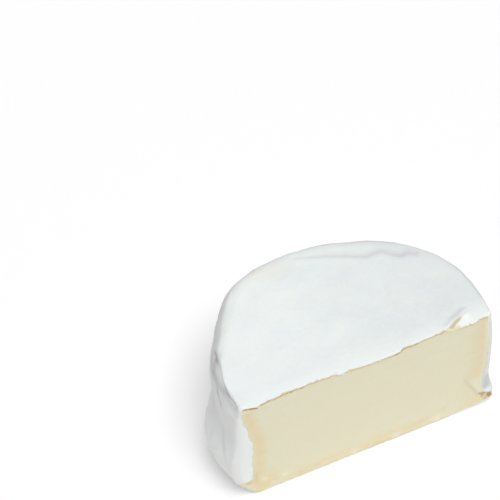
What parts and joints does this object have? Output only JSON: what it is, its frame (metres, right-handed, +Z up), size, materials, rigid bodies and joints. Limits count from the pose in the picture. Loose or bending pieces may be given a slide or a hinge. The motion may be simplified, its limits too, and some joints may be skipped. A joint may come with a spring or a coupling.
{
  "type": "half of a small soft-ripened cheese",
  "caption": "Half of a small round soft-ripened cheese, cut upright, with a white bloomy rind and pale cream paste on the cut face.",
  "frame": {"origin": "middle of the box round the cheese, on the surface that it stands on", "axes": "+X runs along the cut face from left to right, -Y is the way the cut face looks, +Z up"},
  "size_m": [0.0868, 0.048, 0.0426],
  "materials": {
    "cheese": "matte white bloomy rind, with pale cream paste where it is cut"
  },
  "bodies": {
    "root": {"half_cheese": "cheese"}
  },
  "joints": []
}
